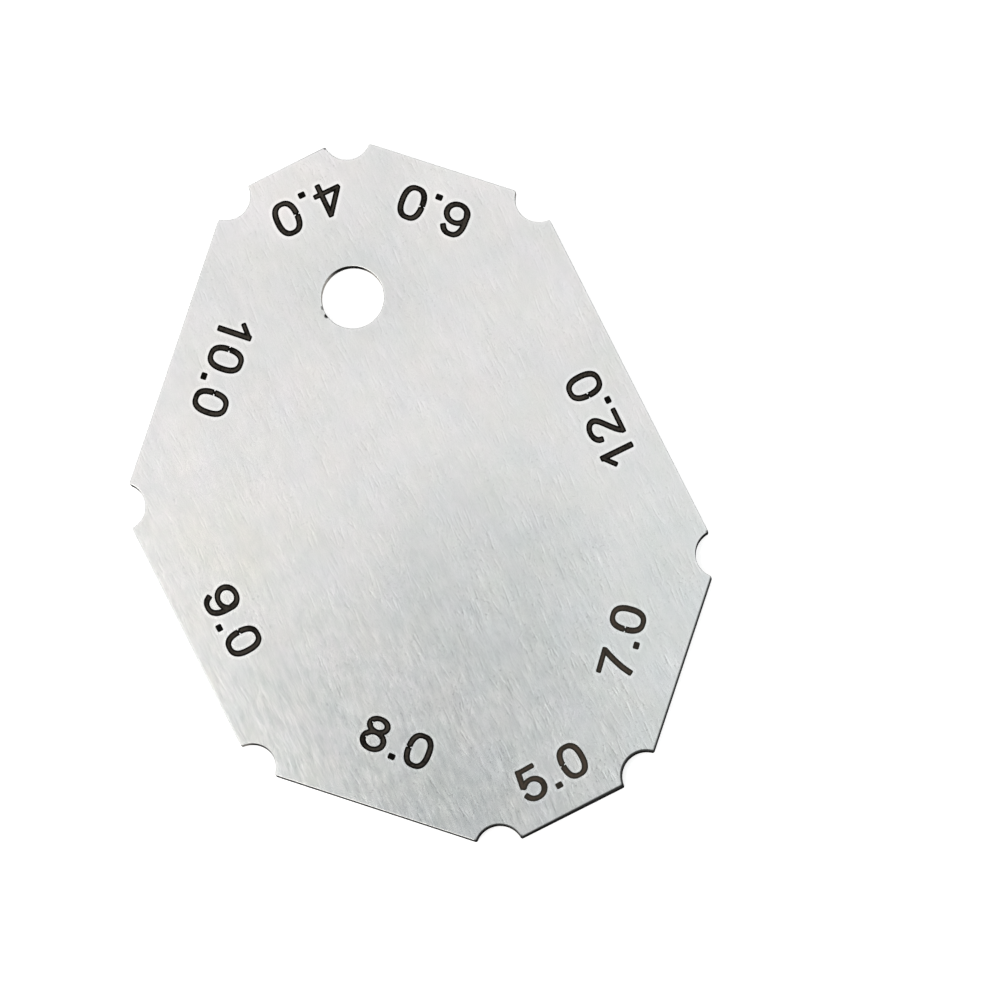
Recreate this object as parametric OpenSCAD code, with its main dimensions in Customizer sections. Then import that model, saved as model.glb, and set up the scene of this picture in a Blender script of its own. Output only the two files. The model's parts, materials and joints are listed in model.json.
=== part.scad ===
// Flat steel gauge for fillet welds, in millimetres.
//
// The plate has eight straight sides, and every corner between them is 135 degrees. So
// the two sides next to any side are square to each other, like the two members of a
// fillet weld. With those two held against the members, the side between them crosses
// the face of the weld. Its height over the members' corner is half its own length, and
// that height is the throat that the side measures.
//
// The plate lies on its plain face at z = 0, with its marked face up and the origin in
// the middle of its outline. The side that faces +Y is called north, as on a map, and
// the sides are counted clockwise as seen from above.

/* [Throat sizes] */
// Weld throat that the north side measures
throat_n = 4; // [3.5:0.5:6]
// Weld throat that the north-east side measures
throat_ne = 6; // [4:0.5:9]
// Weld throat that the east side measures
throat_e = 12; // [9:0.5:15]
// Weld throat that the south-east side measures
throat_se = 7; // [5:0.5:10]
// Weld throat that the south side measures
throat_s = 5; // [3.5:0.5:8]
// Weld throat that the south-west side measures
throat_sw = 8; // [5:0.5:11]
// Weld throat that the west side measures
throat_w = 9; // [6:0.5:12]
// Weld throat that the north-west side measures
throat_nw = 10; // [7:0.5:13]

/* [Sheet] */
// Thickness of the steel sheet
sheet_t = 1; // [0.8:0.1:2]
// Width of the small bevel along the straight sides, on both faces
side_break = 0.08; // [0.04:0.01:0.09]
// Width of the small bevel round the reliefs and the hole, on both faces
rim_break = 0.1; // [0.1:0.01:0.2]

/* [Corner reliefs] */
// Diameter of the round relief at each corner, which clears the toe of the weld
relief_d = 2.9; // [1.5:0.1:4]

/* [Hanging hole] */
// Diameter of the hole
hole_d = 3.8; // [2:0.1:6]
// Distance of the hole's centre from the north side
hole_inset = 9; // [6:0.5:15]

/* [Hidden] */
$fn = 96;
satin_steel = [0.87, 0.88, 0.88];

// Throats in the order of the sides, clockwise from the north side
throats = [throat_n, throat_ne, throat_e, throat_se, throat_s, throat_sw, throat_w, throat_nw];
sides = len(throats);
turn = 360 / sides;

// Unit vectors along side number i, clockwise, and straight out of it
function along(i) = [cos(turn * i), -sin(turn * i)];
function outward(i) = [sin(turn * i), cos(turn * i)];

// Point that is reached by walking along the first n sides of these lengths
function walk(lengths, n) =
    n == 0 ? [0, 0] : walk(lengths, n - 1) + lengths[n - 1] * along(n - 1);

// A side is twice as long as its throat. Sides of just those lengths miss their starting
// point by a small gap, which all sides share by how far they point along it. That is
// the least change that closes the outline: at most 0.3 mm on a side with these sizes.
full_sides = [for (a = throats) 2 * a];
gap = walk(full_sides, sides);
side_l = [for (i = [0 : sides - 1]) full_sides[i] - gap * along(i) * 2 / sides];

// Corners of the outline, corner i at the start of side i, with the origin in the middle
walked = [for (i = [0 : sides - 1]) walk(side_l, i)];
walked_x = [for (p = walked) p.x];
walked_y = [for (p = walked) p.y];
middle = [max(walked_x) + min(walked_x), max(walked_y) + min(walked_y)] / 2;
corners = [for (p = walked) p - middle];

function side_middle(i) = corners[i] + along(i) * side_l[i] / 2;

// The hole hangs under the middle of the north side
hole_at = side_middle(0) - hole_inset * outward(0);

// Puts its children on the marked face, and turned over on the plain face
module both_faces() {
    translate([0, 0, sheet_t]) children();
    mirror([0, 0, 1]) children();
}

// Block with one slanted face, which bevels the edge of side i. It ends inside the reliefs.
module side_bevel(i) {
    block = 4 * side_break;
    translate(side_middle(i))
        rotate([0, 0, -turn * i])
            rotate([45, 0, 0])
                translate([0, (block - side_break * sqrt(2)) / 2, 0])
                    cube([side_l[i] - relief_d / 2, block, block], center = true);
}

// Sheet cut to its eight sides, with their edges bevelled on both faces
module eight_sides() {
    difference() {
        linear_extrude(sheet_t) polygon(corners);
        both_faces() for (i = [0 : sides - 1]) side_bevel(i);
    }
}

// Cutter for a round cut of diameter d, which flares out through both faces to bevel its rims
module round_cut(d) {
    flare = d / 2 + 2 * rim_break;
    rotate_extrude()
        polygon([
            [0, -rim_break],
            [flare, -rim_break],
            [d / 2, rim_break],
            [d / 2, sheet_t - rim_break],
            [flare, sheet_t + rim_break],
            [0, sheet_t + rim_break]
        ]);
}

// The whole gauge. Each relief's cutter is turned so that its seam lies outside the sheet.
module gauge_plate() {
    color(satin_steel)
        difference() {
            eight_sides();
            for (p = corners) translate(p) rotate(atan2(p.y, p.x)) round_cut(relief_d);
            translate(hole_at) round_cut(hole_d);
        }
}

gauge_plate();
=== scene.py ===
# %% [markdown]
# # A fillet weld gauge in satin steel
# The real object is one flat piece of stainless sheet, no longer than a thumb. A laser cut
# its outline with the round reliefs at its corners, and burnt a size beside each side.
# Nothing moves and nothing is screwed on, so its looks rest on four finishes: the brushed
# face, the rounded edges, the dark cut walls and the burnt numbers. Each gets a step here.
# All sizes are written in millimetres, and MM turns them into Blender's metres.

# %% Load the measured model
import json
import math
import bmesh
import bpy
import numpy as np
from collections import namedtuple
from mathutils import Matrix, Vector


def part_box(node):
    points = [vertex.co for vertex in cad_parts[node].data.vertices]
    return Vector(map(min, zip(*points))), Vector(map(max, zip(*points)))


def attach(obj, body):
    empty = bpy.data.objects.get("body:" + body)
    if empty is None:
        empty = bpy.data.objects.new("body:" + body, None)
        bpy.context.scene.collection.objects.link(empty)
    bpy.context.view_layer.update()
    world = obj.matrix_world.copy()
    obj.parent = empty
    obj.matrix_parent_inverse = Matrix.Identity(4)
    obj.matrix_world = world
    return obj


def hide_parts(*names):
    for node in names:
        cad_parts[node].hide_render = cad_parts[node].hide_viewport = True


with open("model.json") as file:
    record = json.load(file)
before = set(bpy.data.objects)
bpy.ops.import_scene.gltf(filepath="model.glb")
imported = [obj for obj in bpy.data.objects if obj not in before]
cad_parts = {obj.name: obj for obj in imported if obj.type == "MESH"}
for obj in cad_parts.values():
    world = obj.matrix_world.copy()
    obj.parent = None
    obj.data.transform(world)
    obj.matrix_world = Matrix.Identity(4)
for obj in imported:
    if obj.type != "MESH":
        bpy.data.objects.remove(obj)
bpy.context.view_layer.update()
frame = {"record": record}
MM = 0.001
plate_low, plate_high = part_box("gauge_plate")
sheet_t = (plate_high.z - plate_low.z) / MM
print(f"the sheet is {sheet_t:.2f} mm thick")

# %% [markdown]
# ## The camera comes first
# Everything is judged through the camera, so it is placed before anything is made. The photo
# is taken from almost straight above with little perspective, which means a long lens from
# far away. A camera needs four facts: the point it looks at, how far it leans from upright
# and to which side, and which direction on the plate points up in the picture.

# %% Camera
LOOK_AT = Vector((5.150, -2.700, 1.0)) * MM
CAMERA_AWAY = 598.6 * MM
CAMERA_TILT = math.radians(7.5)
CAMERA_COMPASS = math.radians(186)
PICTURE_UP = math.radians(26.6)
LENS_MM = 356.8
SENSOR_MM = 36.0
CLIP_START = 10 * MM


def compass(angle):
    """Direction on the plate, turned clockwise from +Y as on a map."""
    return Vector((math.sin(angle), math.cos(angle), 0))


to_camera = compass(CAMERA_COMPASS) * math.sin(CAMERA_TILT)
to_camera.z = math.cos(CAMERA_TILT)
picture_right = compass(PICTURE_UP).cross(to_camera).normalized()
picture_up = to_camera.cross(picture_right)
camera_data = bpy.data.cameras.new("photo_camera")
camera_data.lens = LENS_MM
camera_data.sensor_width = SENSOR_MM
camera_data.clip_start = CLIP_START
camera = bpy.data.objects.new("photo_camera", camera_data)
camera.rotation_mode = "QUATERNION"
camera.location = LOOK_AT + to_camera * CAMERA_AWAY
camera_axes = Matrix((picture_right, picture_up, to_camera)).transposed()
camera.rotation_quaternion = camera_axes.to_quaternion()
bpy.context.scene.collection.objects.link(camera)
bpy.context.scene.camera = camera
print(f"the camera is {camera.location.z / MM:.0f} mm above the bench")

# %% [markdown]
# ## The eight sides
# Each straight side of the gauge measures one weld. The model's record lists them as mounts,
# with the middle of the side and the direction it faces. Two neighbouring sides are two
# lines, and a corner is where they cross, so the outline is worked out from the record and
# can never drift away from the measured part. The sides go clockwise round the gauge, seen
# from above, and each one runs from its own corner to the next one's.

# %% Sides and corners
Side = namedtuple("Side", "size middle out")
SIDE_NAME = "gauging_side_"
sides = []
for mount in frame["record"]["mounts"]:
    if mount["name"].startswith(SIDE_NAME):
        size = mount["name"][len(SIDE_NAME):]
        sides.append(Side(size, Vector(mount["pos_m"][:2]) / MM, Vector(mount["axis"][:2])))


def crossing(one, two):
    """Point where the lines of two sides cross."""
    turn = one.out.x * two.out.y - one.out.y * two.out.x
    far_one = one.out.dot(one.middle)
    far_two = two.out.dot(two.middle)
    x = (far_one * two.out.y - far_two * one.out.y) / turn
    y = (far_two * one.out.x - far_one * two.out.x) / turn
    return Vector((x, y))


corners = [crossing(sides[i - 1], side) for i, side in enumerate(sides)]
side_ends = list(zip(corners, corners[1:] + corners[:1]))
for side, (start, end) in zip(sides, side_ends):
    print(f"side {side.size} is {(end - start).length:.2f} mm long")

# %% [markdown]
# ## One outline, drawn at any inset
# A relief is a round cut centred on each corner. It meets a straight side in a small tip,
# which on real sheet is never a perfect point, so a tiny arc rounds it. The same function
# draws the outline smaller by an inset: straight sides move in, relief arcs grow and tip arcs
# shrink about the same centres. Every inset then has the same number of points, so rings of
# different insets can be joined face by face.

# %% Outline of the sheet
RELIEF_R = 1.45
TIP_R = 0.12
RELIEF_STEPS = 48
TIP_STEPS = 6


def arc(centre, first, last, radius, steps):
    """Points round a centre, from the direction first to the direction last, the short way."""
    start = math.atan2(first.y, first.x)
    sweep = math.atan2(first.x * last.y - first.y * last.x, first.dot(last))
    angles = [start + sweep * k / steps for k in range(steps + 1)]
    return [centre + radius * Vector((math.cos(a), math.sin(a))) for a in angles]


def tip_centres(i):
    """Centres of the small arcs at the two ends of side i."""
    start, end = side_ends[i]
    along = (end - start).normalized()
    reach = math.sqrt((RELIEF_R + TIP_R) ** 2 - TIP_R ** 2)
    into_sheet = -sides[i].out * TIP_R
    return start + along * reach + into_sheet, end - along * reach + into_sheet


def outline(inset):
    """The sheet's outline, moved into the sheet by inset."""
    points = []
    for i, side in enumerate(sides):
        start, end = side_ends[i]
        first_tip, last_tip = tip_centres(i)
        next_tip = tip_centres((i + 1) % len(sides))[0]
        points += arc(first_tip, start - first_tip, side.out, TIP_R - inset, TIP_STEPS)
        points += arc(last_tip, side.out, end - last_tip, TIP_R - inset, TIP_STEPS)
        relief = arc(end, last_tip - end, next_tip - end, RELIEF_R + inset, RELIEF_STEPS)
        points += relief[1:-1]
    return points


print(f"the outline has {len(outline(0))} points")

# %% [markdown]
# Some finishes sit at one place of the outline only, such as a tip darkened by painted shade.
# So a relief gets the name of the two sides that it lies between, and a tip the name of its
# side and end. The finishes can then say where they sit in the gauge's own words, and the
# record gives the rest.

# %% Names for the reliefs and tips
reliefs = {}
tips = {}
for i, side in enumerate(sides):
    start, end = side_ends[i]
    along = (end - start).normalized() * RELIEF_R
    reliefs[f"{sides[i - 1].size}/{side.size}"] = start
    tips[f"{side.size} start"] = start + along
    tips[f"{side.size} end"] = end - along
print("reliefs:", list(reliefs))

# %% [markdown]
# The gauge hangs by a plain round hole. The record lists it as a bore, with its centre and its
# radius. Its rim gets the same treatment as the outline: moved into the sheet, it grows.

# %% Hanging hole
hole = next(m for m in frame["record"]["mounts"] if m["name"] == "hanging_hole")
hole_at = Vector(hole["pos_m"][:2]) / MM
hole_r = hole["dims"]["r_mm"]
HOLE_STEPS = 128


def hole_rim(inset):
    """The hole's outline, moved into the sheet by inset, so the hole grows."""
    angles = [math.tau * k / HOLE_STEPS for k in range(HOLE_STEPS)]
    return [hole_at + (hole_r + inset) * Vector((math.cos(a), math.sin(a))) for a in angles]


print(f"the hole is {2 * hole_r:.1f} mm wide")

# %% [markdown]
# ## Numbers drawn as pen strokes
# The laser follows a path, and the steel turns dark within a small distance of it. A digit is
# therefore described as the real one is made: as strokes with a centre line and a width.
# Upright strokes are a little wider than level ones, as in most printed figures. Curved
# strokes are arcs of a rounded box or an ellipse, so each digit needs only a few sizes. All
# sizes are in millimetres, from the digit's left edge and its foot.

# %% Strokes
Stroke = namedtuple("Stroke", "points weight flat")
DIGIT_W = 1.65
DIGIT_H = 2.21
LEVEL_HALF = 0.164
UPRIGHT_HALF = 0.194
BOW_STEP = 6
BEND_STEPS = 14


def pen(points, weight=1.0, flat=(True, True)):
    """A stroke along points. flat says which of its two ends are cut square."""
    return Stroke([Vector(p) for p in points], weight, flat)


def bow(centre, across, up, first, last, squareness=2.0):
    """Points on an oval from the angle first to last, in degrees, counter-clockwise from +X."""
    steps = round(abs(last - first) / BOW_STEP)
    points = []
    for k in range(steps + 1):
        a = math.radians(first + (last - first) * k / steps)
        x = math.copysign(abs(math.cos(a)) ** (2 / squareness), math.cos(a))
        y = math.copysign(abs(math.sin(a)) ** (2 / squareness), math.sin(a))
        points.append((centre[0] + across * x, centre[1] + up * y))
    return points


def bend(start, pull_start, pull_end, end):
    """Points on a Bezier curve between start and end."""
    points = []
    for k in range(BEND_STEPS + 1):
        t = k / BEND_STEPS
        w = ((1 - t) ** 3, 3 * t * (1 - t) ** 2, 3 * t * t * (1 - t), t ** 3)
        x = sum(f * p[0] for f, p in zip(w, (start, pull_start, pull_end, end)))
        y = sum(f * p[1] for f, p in zip(w, (start, pull_start, pull_end, end)))
        points.append((x, y))
    return points


print(f"strokes are {2 * LEVEL_HALF:.2f} to {2 * UPRIGHT_HALF:.2f} mm wide")

# %% [markdown]
# Each figure is a function that gives its strokes and its nicks. The zero is a tall rounded
# box. The real beam starts and ends on its left, and leaves a pale nick there in both of its
# borders. A nick is a thin stroke that is taken away. No size on this gauge has a three, so
# that figure isn't drawn.

# %% Figures from 0 to 5
ROUND = (False, False)
ZERO = ((0.822, 1.108), 0.628, 0.938)
BOXY = 2.5


def zero():
    loop = pen(bow(*ZERO, 0, 360, BOXY), flat=ROUND)
    outer_nick = pen([(-0.05, 1.15), (0.06, 1.11)], 0.16, ROUND)
    inner_nick = pen([(0.46, 1.17), (0.31, 1.13)], 0.20, ROUND)
    return [loop], [outer_nick, inner_nick]


def one():
    stem = pen([(0.79, 0.197), (0.79, 1.99)])
    flag = pen([(0.16, 1.49), (0.75, 1.99)], 0.88)
    return [stem, flag], []


def two():
    top = bow((0.835, 1.60), 0.605, 0.435, 176, -20)
    tail = bend(top[-1], (1.295, 1.14), (0.36, 0.62), (0.215, 0.215))
    base = pen([(0.17, 0.17), (1.49, 0.17)])
    return [pen(top + tail[1:], flat=(True, False)), base], []


def four():
    slope = pen([(0.17, 0.70), (1.22, 2.03)], 0.92, ROUND)
    level = pen([(0.19, 0.665), (1.60, 0.665)])
    stem = pen([(1.25, 0.19), (1.25, 2.02)], 0.93)
    return [slope, level, stem], []


def five():
    bar = pen([(0.40, 2.03), (1.30, 2.03)])
    upright = pen([(0.405, 2.02), (0.255, 1.20)])
    bowl = pen(bow((0.806, 0.756), 0.628, 0.590, 142, -156), flat=(False, True))
    return [bar, upright, bowl], []


print("strokes of a four:", len(four()[0]))

# %% [markdown]
# The six shares the zero's left side and adds a bowl, and the nine is a six turned upside
# down. The eight has a nick in each counter. The decimal point is one very short stroke.

# %% Figures from 6 to 9 and the point
def six():
    side = pen(bow(*ZERO, 38, 215, BOXY), flat=(True, False))
    bowl = pen(bow((0.835, 0.737), 0.638, 0.570, 0, 360), flat=ROUND)
    return [side, bowl], []


def seven():
    bar = pen([(0.19, 1.963), (1.47, 1.963)])
    stem = pen(bend((1.45, 1.91), (1.14, 1.48), (0.74, 0.78), (0.565, 0.17)), flat=(False, True))
    return [bar, stem], []


def eight():
    upper = pen(bow((0.815, 1.650), 0.552, 0.405, 0, 360), flat=ROUND)
    lower = pen(bow((0.825, 0.687), 0.638, 0.517, 0, 360), flat=ROUND)
    upper_nick = pen([(0.52, 1.70), (0.39, 1.72)], 0.20, ROUND)
    lower_nick = pen([(0.50, 0.74), (0.33, 0.76)], 0.20, ROUND)
    return [upper, lower], [upper_nick, lower_nick]


def nine():
    flipped = []
    for stroke in six()[0]:
        points = [(2 * ZERO[0][0] - p.x, 2 * ZERO[0][1] - p.y) for p in stroke.points]
        flipped.append(pen(points, stroke.weight, stroke.flat))
    return flipped, []


def point():
    return [pen([(0.185, 0.195), (0.255, 0.195)], 1.15)], []


GLYPHS = {"0": zero, "1": one, "2": two, "4": four, "5": five, "6": six, "7": seven,
          "8": eight, "9": nine, ".": point}
print(f"{len(GLYPHS)} figures are described")

# %% [markdown]
# ## From strokes to outlines
# Strokes overlap where they join, and what the plate needs is their common outline. A
# distance field solves this neatly. For every point of a fine grid it holds the distance to
# the nearest stroke edge, negative inside. Joining strokes is then just taking the smaller
# value, cutting a nick is taking the larger one, and the outline is the line where the field
# is zero.

# %% Distance field of a digit
GRID = 0.02
MARGIN = 0.32
WIDEST = 1.9
TIP_CORNER = 0.09
FAR = 9.0


def half_width(run, weight):
    """Half the width of a stroke that runs in this direction."""
    return weight * (LEVEL_HALF + (UPRIGHT_HALF - LEVEL_HALF) * abs(run.y) / run.length)


def square_tip(gx, gy, end, run, half):
    """Distance to a small block that squares off the end of a stroke."""
    d = run.normalized()
    along = np.abs((gx - end.x) * d.x + (gy - end.y) * d.y) - half + TIP_CORNER
    across = np.abs((gy - end.y) * d.x - (gx - end.x) * d.y) - half + TIP_CORNER
    outside = np.hypot(np.maximum(along, 0), np.maximum(across, 0))
    return outside + np.minimum(np.maximum(along, across), 0) - TIP_CORNER


def stroke_field(gx, gy, stroke):
    """Distance to the edge of one stroke, negative inside it."""
    field = np.full(gx.shape, FAR)
    for a, b in zip(stroke.points, stroke.points[1:]):
        run = b - a
        share = np.clip(((gx - a.x) * run.x + (gy - a.y) * run.y) / run.length_squared, 0, 1)
        away = np.hypot(gx - a.x - share * run.x, gy - a.y - share * run.y)
        field = np.minimum(field, away - half_width(run, stroke.weight))
    ends = ((stroke.points[0], stroke.points[1]), (stroke.points[-1], stroke.points[-2]))
    for is_flat, (end, inner) in zip(stroke.flat, ends):
        if is_flat:
            half = half_width(end - inner, stroke.weight)
            field = np.minimum(field, square_tip(gx, gy, end, end - inner, half))
    return field


def digit_field(strokes, nicks, left=0.0, right=WIDEST):
    """The grid's x and y, and the distance to the edge of the burnt area on it."""
    xs = np.arange(left - MARGIN, right + MARGIN, GRID)
    ys = np.arange(-MARGIN, DIGIT_H + 2 * MARGIN, GRID)
    gx, gy = np.meshgrid(xs, ys)
    field = np.full(gx.shape, FAR)
    for stroke in strokes:
        field = np.minimum(field, stroke_field(gx, gy, stroke))
    for nick in nicks:
        field = np.maximum(field, -stroke_field(gx, gy, nick))
    return xs, ys, field


zero_field = digit_field(*zero())
print(f"a zero burns {(zero_field[2] < 0).sum() * GRID ** 2:.2f} mm2 of the face")

# %% [markdown]
# The line where the field is zero is found by marching squares. A grid cell with both signs
# at its corners is crossed by that line. The cell's sides that it crosses follow from the
# signs, and the place on a side follows from the two values at its ends.

# %% Cross the grid cells
def cell_links(values):
    """Which sides of a cell the line joins, for its four corner values in order."""
    crossed = [k for k in range(4) if (values[k] < 0) != (values[(k + 1) % 4] < 0)]
    if len(crossed) < 4:
        return [crossed]
    if (sum(values) < 0) == (values[0] < 0):
        return [[0, 1], [2, 3]]
    return [[3, 0], [1, 2]]


def crossings(xs, ys, field):
    """Where the zero line crosses the grid, and which crossings share a cell."""
    inside = field < 0
    count = inside[:-1, :-1].astype(int) + inside[1:, :-1] + inside[:-1, 1:] + inside[1:, 1:]
    place = {}
    links = {}
    for j, i in np.argwhere((count > 0) & (count < 4)):
        nodes = [(j, i), (j, i + 1), (j + 1, i + 1), (j + 1, i)]
        for pair in cell_links([field[n] for n in nodes]):
            keys = []
            for k in pair:
                a, b = sorted((nodes[k], nodes[(k + 1) % 4]))
                t = field[a] / (field[a] - field[b])
                x = xs[a[1]] + t * (xs[b[1]] - xs[a[1]])
                y = ys[a[0]] + t * (ys[b[0]] - ys[a[0]])
                place[a, b] = (x, y)
                keys.append((a, b))
            links.setdefault(keys[0], []).append(keys[1])
            links.setdefault(keys[1], []).append(keys[0])
    return place, links


print("the outline of a zero crosses the grid", len(crossings(*zero_field)[0]), "times")

# %% [markdown]
# Two crossings in one cell are neighbours on the line, so going from neighbour to neighbour
# follows the line until it closes. A zero gives two such loops, one for each of its borders.

# %% Link the crossings into loops
def trace(xs, ys, field):
    """Closed loops along the zero line of a field, as arrays of points."""
    place, links = crossings(xs, ys, field)
    unused = set(place)
    loops = []
    for start in place:
        loop = []
        onward = [start] if start in unused else []
        while onward:
            here = onward[0]
            unused.discard(here)
            loop.append(place[here])
            onward = [key for key in links[here] if key in unused]
        if loop:
            loops.append(np.array(loop))
    return loops


print("loops in a zero:", len(trace(*zero_field)))

# %% [markdown]
# A traced loop has a point in every grid cell, far more than its shape needs. The thinning
# step keeps the point that strays most from a straight line and repeats this on both halves,
# until no dropped point is further from the line than a thousandth of a millimetre. Each loop
# is then turned so that the burnt side is on its left, which later tells in which direction
# a recess gets narrower. A figure is traced twice: at its edge, and a little inside its
# strokes for the middle of the burn.

# %% Thin the outlines
SLACK = 0.001
SPECK_POINTS = 8


def thin(points):
    """The points that an open line needs."""
    chord = points[-1] - points[0]
    offset = points - points[0]
    away = np.abs(offset[:, 0] * chord[1] - offset[:, 1] * chord[0]) / np.hypot(*chord)
    worst = int(np.argmax(away))
    if away[worst] < SLACK:
        return [points[0], points[-1]]
    return thin(points[:worst + 1])[:-1] + thin(points[worst:])


def thin_loop(loop):
    """The points that a closed loop needs."""
    far = int(np.argmax(np.hypot(*(loop - loop[0]).T)))
    closed = np.vstack([loop, loop[:1]])
    return np.array(thin(closed[:far + 1])[:-1] + thin(closed[far:])[:-1])


def burnt_left(loop, xs, ys, field):
    """The loop, turned round if its burnt side isn't on its left."""
    run = loop[1] - loop[0]
    left = np.array([-run[1], run[0]]) / np.hypot(*run)
    probe = (loop[0] + loop[1]) / 2 + left * GRID
    column = int(round((probe[0] - xs[0]) / GRID))
    row = int(round((probe[1] - ys[0]) / GRID))
    return loop if field[row, column] < 0 else loop[::-1]


def thin_loops(xs, ys, field):
    """The thinned loops along the zero line of a field, without its specks."""
    return [thin_loop(loop) for loop in trace(xs, ys, field) if len(loop) > SPECK_POINTS]


def digit_loops(name, inset=0.0):
    """Outlines of a digit, moved into its strokes by inset."""
    xs, ys, field = digit_field(*GLYPHS[name]())
    field = field + inset
    return [burnt_left(loop, xs, ys, field) for loop in thin_loops(xs, ys, field)]


CORE_INSET = 0.125
edge_loops = {name: digit_loops(name) for name in GLYPHS}
core_loops = {name: digit_loops(name, CORE_INSET) for name in GLYPHS if name != "."}
print("outlines of a digit:", {name: len(loops) for name, loops in edge_loops.items()})
print("points in all outlines:", sum(len(loop) for loops in edge_loops.values() for loop in loops))

# %% [markdown]
# ## Where the numbers stand
# Each size is written beside its side, with its foot towards the edge, so whoever turns the
# gauge to a weld reads it upright. On the real tool the marks stand a little unevenly, at
# different distances from the edge, off the middle, and a degree or three off level. Those
# small faults are kept, because a perfectly regular ring of numbers would look drawn. The last
# value of a mark says how lightly it was burnt: 0 is black and 1 is the palest brown.

# %% Place the numbers
Mark = namedtuple("Mark", "off_middle foot turn pale")
MARKS = {
    "4": Mark(-0.10, 1.81, -1.2, 0.0),
    "6": Mark(-0.40, 1.62, -3.3, 0.0),
    "12": Mark(-1.58, 1.62, -0.7, 0.0),
    "7": Mark(0.20, 2.81, 2.6, 0.85),
    "5": Mark(0.01, 1.60, 2.3, 1.0),
    "8": Mark(-0.08, 3.06, -3.3, 0.0),
    "9": Mark(0.42, 1.81, 1.6, 0.0),
    "10": Mark(0.05, 2.02, -0.6, 0.0),
}
GAP = 0.35
GAP_AFTER_ONE = 0.64
GLYPH_W = {"1": 0.99, "4": 1.77, ".": 0.44}


def glyph_starts(text):
    """Where each figure of a number starts, with the number's middle at zero."""
    starts = []
    x = 0.0
    for name in text:
        starts.append(x)
        x += GLYPH_W.get(name, DIGIT_W) + (GAP_AFTER_ONE if name == "1" else GAP)
    middle = (x - GAP) / 2
    return [start - middle for start in starts]


def on_sheet(side, loop, start=0.0):
    """A loop of one side's number, in place on the sheet. start moves it along the number."""
    mark = MARKS[side.size]
    to_middle = -side.out
    reading = Vector((to_middle.y, -to_middle.x))
    turn = math.radians(mark.turn)
    right = reading * math.cos(turn) + to_middle * math.sin(turn)
    up = to_middle * math.cos(turn) - reading * math.sin(turn)
    origin = side.middle + reading * mark.off_middle + to_middle * mark.foot
    return [origin + right * (start + x) + up * y for x, y in loop]


def place_loops(side, loops_of):
    """All outlines of one side's number."""
    text = side.size + ".0"
    return [on_sheet(side, loop, start)
            for name, start in zip(text, glyph_starts(text)) for loop in loops_of.get(name, [])]


mark_edges = {side.size: place_loops(side, edge_loops) for side in sides}
mark_cores = {side.size: place_loops(side, core_loops) for side in sides}
print("loops on the face:", sum(len(loops) for loops in mark_edges.values()))

# %% [markdown]
# ## Pale rings round the numbers
# Each number also gets a pale ring round it, about a quarter of a millimetre wide. Its outer
# line comes from the same distance field, at that distance outside the strokes. Rings of
# neighbouring figures would cross, so all figures of a number go into one field, and one line
# runs round the whole number.

# %% Trace the pale rings
HALO_REACH = 0.24


def halo_loops(side):
    """Outlines at a distance round one side's number."""
    text = side.size + ".0"
    starts = glyph_starts(text)
    strokes = []
    for name, start in zip(text, starts):
        for stroke in GLYPHS[name]()[0]:
            points = [(p.x + start, p.y) for p in stroke.points]
            strokes.append(pen(points, stroke.weight, stroke.flat))
    xs, ys, field = digit_field(strokes, [], starts[0], starts[-1] + DIGIT_W)
    return [on_sheet(side, loop) for loop in thin_loops(xs, ys, field - HALO_REACH)]


mark_halos = {side.size: halo_loops(side) for side in sides}
print("loops round the numbers:", sum(len(loops) for loops in mark_halos.values()))

# %% [markdown]
# ## Rings, bridges and fills
# The plate is one closed mesh made of three simple moves. A ring is an outline at one height.
# A bridge joins two rings with as many points by a band of faces. A fill closes a flat area
# that some rings border, and leaves out what lies inside an inner ring, like the hole. Blender's
# triangle fill does that last part for any number of nested rings.

# %% Helpers for rings, bridges and fills
def ring(bm, points, z):
    """A closed row of points at height z."""
    return [bm.verts.new((p.x, p.y, z)) for p in points]


def bridge(bm, lower, upper, finish):
    """A band of faces between two rings."""
    for k in range(len(lower)):
        n = (k + 1) % len(lower)
        face = bm.faces.new((lower[k], lower[n], upper[n], upper[k]))
        face.material_index = finish


def ring_edges(bm, points):
    """The edges of a ring, made where they are missing."""
    edges = []
    for a, b in zip(points, points[1:] + points[:1]):
        edges.append(bm.edges.get((a, b)) or bm.edges.new((a, b)))
    return edges


def fill(bm, rings, finish):
    """Flat faces in the area that these rings border."""
    edges = [edge for points in rings for edge in ring_edges(bm, points)]
    made = bmesh.ops.triangle_fill(bm, use_beauty=True, use_dissolve=False, edges=edges)
    faces = [part for part in made["geom"] if isinstance(part, bmesh.types.BMFace)]
    for face in faces:
        face.material_index = finish
    return sum(face.calc_area() for face in faces)


# %% [markdown]
# Recesses and inlays need an outline that is moved in a little. Each point moves at right
# angles to the line there, to the left, which is the burnt side. The second helper turns a
# mesh built in millimetres into an object in metres. It also counts the edges that don't lie
# between two faces, because a closed mesh has none.

# %% Helpers for recesses and objects
def inward(points, inset):
    """An outline moved to its left by inset, point by point."""
    moved = []
    for before, here, after in zip(points[-1:] + points[:-1], points, points[1:] + points[:1]):
        run = (here - before).normalized() + (after - here).normalized()
        side = Vector((-run.y, run.x)).normalized()
        moved.append(here + side * inset)
    return moved


def finished_object(bm, name, materials):
    """A mesh object in metres from a mesh built in millimetres."""
    bmesh.ops.recalc_face_normals(bm, faces=bm.faces)
    open_edges = sum(not edge.is_manifold for edge in bm.edges)
    print(f"{name}: {len(bm.faces)} faces, {open_edges} open edges")
    mesh = bpy.data.meshes.new(name)
    bm.to_mesh(mesh)
    bm.free()
    mesh.transform(Matrix.Scale(MM, 4))
    for material in materials:
        mesh.materials.append(material)
    made = bpy.data.objects.new(name, mesh)
    bpy.context.scene.collection.objects.link(made)
    return made


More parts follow.
